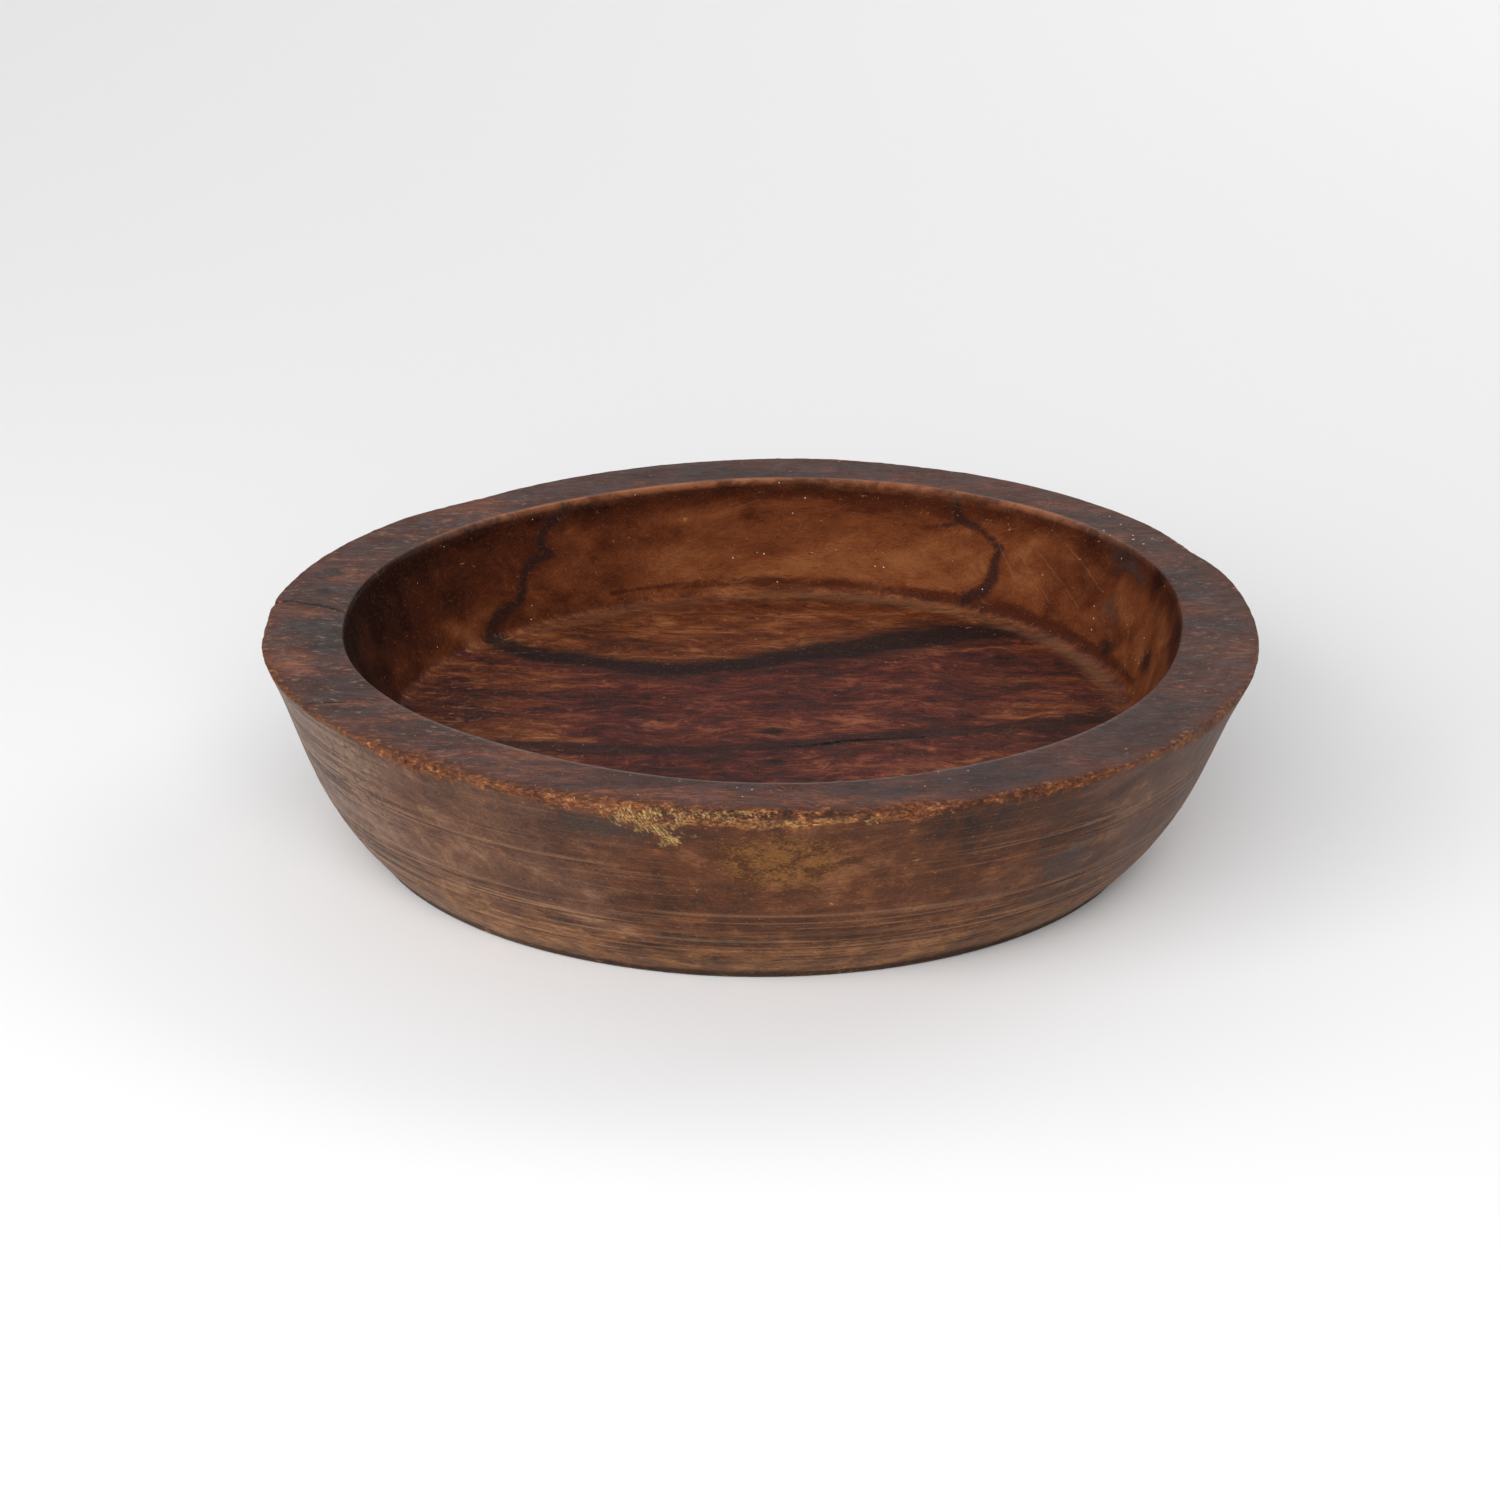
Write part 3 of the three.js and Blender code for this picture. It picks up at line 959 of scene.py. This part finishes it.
# Painted highlight on the mouth's edge behind, over rubbed wood, and a painted reflection on it in front
MOUTH_HIGHLIGHT_BEHIND, MOUTH_REFLECTION_IN_FRONT = (164, 104, 72), (122, 106, 98)
PORE, SCRATCH, SPECK = (30, 18, 15), (150, 122, 98), (216, 200, 180)

# The finish: how strongly it mirrors light, and how much rougher it is in places
SHEEN_LEVEL = 0.13
HOLLOW_SHEEN = 0.04
ROUGHER = {"floor": 0.3, "hollow": 0.4, "raw": 0.2, "dust": 0.1}
BUMP_STRENGTH = 0.6


def paint(red, green, blue):
    """A colour of the finish, given as it looks on a screen, as a shader's linear colour."""
    share = np.array([red, green, blue]) / 255
    linear = np.where(share <= 0.04045, share / 12.92, ((share + 0.055) / 1.055) ** 2.4)
    return (*linear, 1.0)


class Recipe:
    """Adds nodes to one material or sky."""

    def __init__(self, owner, shader="Principled BSDF"):
        owner.use_nodes = True
        self.tree = owner.node_tree
        self.shader = self.tree.nodes[shader]

    def add(self, kind, inputs, **settings):
        node = self.tree.nodes.new("ShaderNode" + kind)
        for name, value in settings.items():
            setattr(node, name, value)
        for key, value in inputs.items():
            self.feed(node.inputs[key], value)
        return node

    def feed(self, socket, value):
        if isinstance(value, Value):
            self.tree.links.new(value.socket, socket)
        else:
            socket.default_value = value

    def value(self, kind, inputs, output=0, **settings):
        """An output of a new node, as a value to work with."""
        return Value(self, self.add(kind, inputs, **settings).outputs[output])

    def shade(self, inputs):
        for name, value in inputs.items():
            self.feed(self.shader.inputs[name], value)


class Value:
    """A number or colour that a material works out at each point; sums and products add nodes."""

    def __init__(self, recipe, socket):
        self.recipe = recipe
        self.socket = socket

    def math(self, operation, *others):
        return self.recipe.value("Math", dict(enumerate((self, *others))), operation=operation)

    def __add__(self, other):
        return self.math("ADD", other)

    def __mul__(self, other):
        return self.math("MULTIPLY", other)

    def __sub__(self, other):
        return self.math("SUBTRACT", other)

    def __rsub__(self, other):
        return self * -1.0 + other

    def __abs__(self):
        return self.math("ABSOLUTE")

    __radd__ = __add__

    def between(self, low, high, most=1.0, least=0.0):
        """least where this is at low, most where it is at high, with an even curve between."""
        inputs = {0: self, 1: low, 2: high, 3: least, 4: most}
        return self.recipe.value("MapRange", inputs, interpolation_type="SMOOTHSTEP")

    def ramp(self, stops):
        """A colour for each value, from stops of a value and a colour's three parts."""
        node = self.recipe.add("ValToRGB", {0: self})
        elements = node.color_ramp.elements
        while len(elements) < len(stops):
            elements.new(0.5)
        for element, (at, *colour) in zip(elements, stops):
            element.position = at
            element.color = paint(*colour)
        return Value(self.recipe, node.outputs["Color"])


def mix(share, below, above):
    """The colour below with a share of the one above laid over it."""
    below, above = (paint(*c) if isinstance(c, tuple) else c for c in (below, above))
    inputs = {"Factor": share, "A": below, "B": above}
    return share.recipe.value("Mix", inputs, "Result", data_type="RGBA")


class Wood(Recipe):
    """The wood's recipe with its noises, in the bowl's own space, with the grain along X."""

    def __init__(self, material):
        super().__init__(material)
        at = self.value("TexCoord", {}, "Object")
        grain = self.waved(at)
        self.at = at
        self.fibre = self.noise(grain, (15, 1.2, 1.2), 4, 0.7, 0.2)
        self.flame = self.noise(grain, (19, 6.6, 5.6), 7, 0.68, 0.6)
        self.broad = self.noise(at, (62, 25, 21), 3, 0.5, 0.6)
        self.streak = self.noise(grain, (34, 2.6, 2.6), 5, 0.65, 0.2)
        self.line = abs(self.noise(grain, (60, 6.5, 5.5), 3, 0.6)).between(0.1, 0.01)
        self.grit = self.noise(at, (1.5, 1.1, 0.9), 3, 0.7)
        self.fleck = self.noise(at, (5.5, 5.0, 1.9), 3, 0.7)
        self.blot = self.noise(at, (13, 9, 9), 4, 0.62, 0.4)
        self.crumb = self.noise(at, (4.2, 3.2, 2.0), 4, 0.72)
        tilted = self.value("Mapping", {"Vector": at, "Rotation": (0.0, 0.6, 0.3)})
        self.torn = self.noise(tilted, (0.9, 1.6, 5.5), 5, 0.75, 0.5)
        self.level = self.noise(at, (90, 90, 1.8), 4, 0.72)
        self.pore = self.noise(at, (6, 0.6, 0.6), 1).between(0.42, 0.6)
        self.mottle = self.blot + self.grit * 0.8
        self.speck = self.pale_specks()
        self.scratch = self.placed_scratches().math("MAXIMUM", self.loose_scratches() * 0.6)

    def __getitem__(self, name):
        """A field of the mesh."""
        return self.value("Attribute", {}, "Fac", attribute_name=name)

    def stretch(self, at, lengths):
        """The place measured in these lengths in millimetres along X, Y and Z."""
        scale = tuple(1 / (MM * length) for length in lengths)
        return self.value("VectorMath", {0: at, 1: scale}, operation="MULTIPLY")

    def noise(self, at, lengths, detail=3.0, roughness=0.55, distortion=0.0):
        """Noise about 0, mostly within half of 1, whose grain has these lengths."""
        inputs = {"Vector": self.stretch(at, lengths), "Scale": 1.0, "Detail": detail}
        inputs |= {"Roughness": roughness, "Distortion": distortion}
        return self.value("TexNoise", inputs, "Fac").math("MULTIPLY_ADD", 3.0, -1.5)

    def waved(self, at):
        """The place with slow waves added across the grain."""
        slow = self.noise(at, (55, 36, 36), 2) * (14 * MM)
        wave = slow + self.noise(at, (16, 11, 11), 2) * (3 * MM)
        shift = self.value("CombineXYZ", {"Y": wave, "Z": wave * 0.7})
        return self.value("VectorMath", {0: at, 1: shift}, operation="ADD")

    def pale_specks(self):
        """Small pale specks, in loose clusters."""
        inputs = {"Vector": self.stretch(self.at, (6, 6, 6)), "Scale": 1.0}
        crowd = self.noise(self.at, (50, 50, 50), 1).between(-0.2, 0.4, 1.0, 0.3)
        reach = self["specks"] * crowd * 0.075
        return self.value("TexVoronoi", inputs, "Distance").math("LESS_THAN", reach)

    def placed_scratches(self):
        """The scratches that have a place of their own."""
        across = abs(self["scratch_across"] + self.noise(self.at, (9, 9, 9), 2) * 0.9)
        broken = self.noise(self.at, (5, 5, 5), 2).between(-0.4, 0.1, 1.0, 0.25)
        return across.between(0.55, 0.15) * self["scratch_near"] * broken

    def loose_scratches(self):
        """Short faint scratches anywhere: pieces of the middle lines of a slow noise."""
        thin = abs(self.noise(self.at, (46, 40, 30), 0)).between(0.014, 0.004)
        return thin * self.noise(self.at, (16, 16, 16), 1).between(0.18, 0.32)


def figure(wood, weights):
    """The wood's figure as one value from 0 for dark to 1 for pale, with its tones."""
    noises = (wood.flame, wood.fibre, wood.broad, wood.blot)
    weighed = (part * weight for part, weight in zip(noises, weights))
    return sum(weighed, MIDDLE_FIGURE) + wood["tone"]


def region_colours(wood):
    """The wood's colour on the outside, underneath, on the rim, the hollow's wall and the floor."""
    flat = figure(wood, FLAT_FIGURE)
    sides = figure(wood, SIDE_FIGURE)
    greyed = (wood["weathered"] + wood.broad * 0.5).between(0.1, 0.8)
    golden = (wood["golden"] + wood.broad * 0.5 + 0.03).between(0.1, 0.8)
    colour = mix(greyed, sides.ramp(SIDE_BROWN), sides.ramp(SIDE_GREY))
    colour = mix(wood["low"] * 0.72, colour, figure(wood, FOOT_FIGURE).ramp(FOOT_WOOD))
    colour = mix(wood["underside"], colour, flat.ramp(UNDER_WOOD))
    colour = mix(wood["rim"], colour, figure(wood, RIM_FIGURE).ramp(RIM_WOOD))
    colour = mix(wood["hollow"], colour, figure(wood, HOLLOW_FIGURE).ramp(HOLLOW_WOOD))
    floor = mix(golden, flat.ramp(FLOOR_WINE), flat.ramp(FLOOR_GOLDEN))
    return mix(wood["floor"], colour, floor)


def stains(wood):
    """The dark bands and veins with their ragged edges, and the grey and golden patches."""
    floor = wood["floor"]
    band = mix(floor, BAND_ON_WALL, BAND_ON_FLOOR)
    vein = mix(floor, VEIN_ON_WALL, VEIN_ON_FLOOR)
    slate = mix(wood["rim"], SLATE_ELSEWHERE, SLATE_ON_RIM)
    gold = mix(wood.mottle.between(-0.3, 0.4), GOLD_DARK, GOLD_PALE)
    fibrous = wood.streak * 0.75
    blotchy = wood.blot * 0.75
    yield (wood["bands"] + fibrous).between(1.5, 0.6, 0.82), band
    yield (wood["veins"] + fibrous).between(1.9, 1.0, 0.6), VEIN_EDGE
    core = (wood["veins"] + wood.streak * 0.6).between(1.3, 0.55)
    yield core * (0.9 - wood["hollow"] * 0.2), vein
    yield (wood["slate"] + blotchy).between(1.3, 0.2, 0.6), slate
    yield (wood["gold"] + blotchy).between(1.1, 0.85, 0.85), gold


def sheen_and_dirt(wood):
    """The painted sheen at the left, dust round the floor, darkening along the foot, and the cracks'
    stain.
    """
    # Painted sheen on the far left of the outer wall
    yield wood["left_sheen"] * wood.level.between(-0.22, 0.22, 0.72, 0.04), LEFT_SHEEN
    rings = wood.level * 0.8 + wood.streak * 0.4
    yield wood["dust"] * rings.between(-0.4, 0.4, 0.65, 0.2), DUST
    # Darker towards the foot of the outer wall
    darker_at_foot = (wood["darker_foot"] + wood.blot * 0.5).between(0.3, 0.9)
    yield darker_at_foot * 0.85, FOOT_DARK
    yield (wood["cracks"] + wood.grit * 0.5).between(1.5, 0.8, 0.9), CRACK


def turning(wood):
    """Painted shade in the grooves and painted highlight on the ridges of the turned lines round the
    outside.
    """
    line = wood["lines"]
    yield line.between(0.1, 0.45, 0.4), GROOVE_SHADE
    yield line.between(-0.03, -0.16, 0.5), RIDGE_HIGHLIGHT
    broken = wood["turned"] * wood.streak.between(-0.5, 0.3, 1.0, 0.5)
    yield broken * wood.level.between(-0.12, -0.28, 0.6), GROOVE_SHADE
    yield broken * wood.level.between(0.14, 0.28, 0.65), TURNING_HIGHLIGHT


def flecks_and_grit(wood):
    """Flecks, thin lines of the figure, and fine dark and pale grit in the grain."""
    floor, hollow = wood["floor"], wood["hollow"]
    outer = 1.0 - floor * 0.6 - hollow * 0.6
    low = wood["low"] * 0.16
    yield (wood.fleck + low).between(0.5, 0.68, 0.62) * outer, DARK_FLECK
    yield (low - wood.fleck).between(0.52, 0.72, 0.55) * outer, PALE_FLECK
    lined = wood.line * (0.3 + floor * 0.7 - hollow * 0.2)
    yield lined * wood.blot.between(-0.3, 0.4, 0.5, 0.1), FIGURE_LINE
    even = 1.0 - hollow * 0.4
    yield even * wood.grit.between(-0.2, -0.6, 0.4), DIRT
    yield even * wood.grit.between(0.25, 0.65, 0.3), GRAIN_BLOOM


def coarse_fibres(wood):
    """Coarser dark and pale fibres at the sides."""
    coarse = wood["coarse"]
    fibres = wood.crumb * 0.7 + wood.streak * 0.5
    yield coarse * fibres.between(-0.08, -0.4, 0.5), DARK_FIBRE
    yield coarse * fibres.between(0.12, 0.45, 0.38), PALE_FIBRE


def wear(wood):
    """The rubbed and broken arris, and the torn patch under it."""
    yield wood["rubbed"] * wood.streak.between(-0.5, 0.4, 0.6, 0.1), RUBBED
    bare = (0.44 + wood.crumb * 0.5 + wood.mottle * 0.3).ramp(BARE_WOOD)
    worn = wood["raw"] + (wood.crumb * 0.7 + wood.blot * 0.4)
    yield worn.between(0.44, 0.58, 0.92), bare
    pale = (0.48 + wood.torn * 0.8 + wood.grit * 0.35).ramp(TORN_WOOD)
    torn = wood["splinter"] + wood.torn * 0.7 + wood.crumb * 0.5
    yield torn.between(0.35, 0.85, 0.9), pale


def broken_ledge(wood):
    """Fresh pale wood with a painted highlight along the broken ledge, and the crumbling lip above it.
    """
    fibres = wood.streak + wood.crumb * 0.7
    fresh = mix(wood.grit.between(-0.2, 0.4), LEDGE_DARK, LEDGE_PALE)
    yield wood["ledge"] * fibres.between(-0.35, 0.25, 0.9, 0.1), fresh
    lip = wood["lip"]
    yield lip * wood.crumb.between(0.1, -0.2, 0.8), LIP_DARK
    yield lip * wood.crumb.between(0.3, 0.5, 0.8), LIP_FLAKE


def mouth_wear_and_highlights(wood):
    """The mouth's edge: warm and pale behind, rubbed wood with a painted highlight; greyer in front, a
    painted reflection.
    """
    mouth, back = wood["mouth"], wood["back"]
    yield mouth * back * wood.blot.between(-0.4, 0.3, 0.8, 0.25), MOUTH_HIGHLIGHT_BEHIND
    front = mouth * (1.0 - back)
    yield front * wood.streak.between(-0.4, 0.3, 0.6, 0.2), MOUTH_REFLECTION_IN_FRONT


def fine_marks(wood):
    """Pores, thin scratches and pale specks."""
    yield wood.pore * 0.4, PORE
    yield wood.scratch * 0.11, SCRATCH
    yield wood.speck * 0.85, SPECK


LAYERS = (
    stains, sheen_and_dirt, turning, flecks_and_grit, coarse_fibres, wear, broken_ledge, mouth_wear_and_highlights, fine_marks,
)


def roughness(wood):
    places = (wood[name] * much for name, much in ROUGHER.items())
    return sum(places, wood.blot.between(-0.5, 0.5, 0.55, 0.42)) + wood.speck * 0.2


def bump(wood):
    """The finest relief, as the way that the surface faces."""
    height = wood.fibre * 0.14 + wood.grit * 0.10
    height += wood.crumb * wood["raw"].between(0.2, 0.8, 0.4, 0.08)
    height += wood.level * wood["turned"] * 0.22
    height = height - wood.pore * 0.14 - wood.scratch * 0.1 + wood.speck * 0.25
    return wood.value("Bump", {"Height": height, "Strength": BUMP_STRENGTH, "Distance": MM})


def wood_material():
    material = bpy.data.materials.new("dark_hardwood")
    wood = Wood(material)
    colour = region_colours(wood)
    for layer in LAYERS:
        for share, pigment in layer(wood):
            colour = mix(share, colour, pigment)
    sheen = SHEEN_LEVEL + wood["hollow"] * (HOLLOW_SHEEN - SHEEN_LEVEL)
    wood.shade({"Base Color": colour, "Roughness": roughness(wood)})
    wood.shade({"Normal": bump(wood), "Specular IOR Level": sheen})
    return material


# Studio: a pale floor under a weak even sky, with broad soft lights low round the bowl, each
# by the bearing that it stands at and its power; sizes here are metres
FLOOR_HALF = 9.0
FLOOR_PALE = (0.80, 0.80, 0.804, 1.0)
FLOOR_ROUGHNESS = 0.7
SKY_WHITE = (1.0, 1.0, 1.0, 1.0)
SKY_STRENGTH = 0.25
LIGHTS = ((270, 80.0), (225, 62.0), (45, 33.0), (90, 13.0), (135, 11.0))
LIGHT_AWAY = 3.0
LIGHT_RISE = 28
LIGHT_SIZE = 2.0
LIGHT_AIM = Vector((0.0, 0.0, 0.05))


def make_floor():
    mesh = bpy.data.meshes.new("studio_floor")
    corners = [(x * FLOOR_HALF, y * FLOOR_HALF, 0.0) for x, y in ((-1, -1), (1, -1), (1, 1), (-1, 1))]
    mesh.from_pydata(corners, [], [(0, 1, 2, 3)])
    material = bpy.data.materials.new("pale_floor")
    Recipe(material).shade({"Base Color": FLOOR_PALE, "Roughness": FLOOR_ROUGHNESS})
    mesh.materials.append(material)
    floor = add_object("studio_floor", mesh)


def make_light(bearing, power):
    data = bpy.data.lights.new(f"light_{bearing}", "AREA")
    data.size = LIGHT_SIZE
    data.energy = power
    turn, rise = np.radians((bearing, LIGHT_RISE))
    way = Vector((np.cos(rise) * np.cos(turn), np.cos(rise) * np.sin(turn), np.sin(rise)))
    light = add_object(data.name, data)
    light.location = LIGHT_AIM + LIGHT_AWAY * way
    light.rotation_euler = way.to_track_quat("Z", "Y").to_euler()


def make_sky():
    world = bpy.data.worlds.new("studio")
    Recipe(world, "Background").shade({"Color": SKY_WHITE, "Strength": SKY_STRENGTH})
    bpy.context.scene.world = world


# Camera: its place in millimetres, how far it looks down and its roll in radians, and its lens
CAMERA_PLACE = (-5.1, -2285.4, 961.0)
CAMERA_PITCH = 0.3848
CAMERA_ROLL = 0.0078
CAMERA_LENS = 120.0
CAMERA_FILM = 36.0
CAMERA_SIGHT = 100.0


def make_camera():
    data = bpy.data.cameras.new("camera")
    data.lens = CAMERA_LENS
    data.sensor_width = CAMERA_FILM
    data.clip_end = CAMERA_SIGHT
    camera = add_object("camera", data)
    tilt = Matrix.Rotation(np.pi / 2 - CAMERA_PITCH, 4, "X")
    roll = Matrix.Rotation(CAMERA_ROLL, 4, "Z")
    camera.matrix_world = Matrix.Translation(Vector(CAMERA_PLACE) * MM) @ tilt @ roll
    bpy.context.scene.camera = camera


bowl = make_bowl()
bowl.data.materials.clear()
bowl.data.materials.append(wood_material())
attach(bowl, "root")
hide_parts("bowl")
make_floor()
make_sky()
for bearing, power in LIGHTS:
    make_light(bearing, power)
make_camera()
bpy.context.scene.view_settings.view_transform = "Standard"
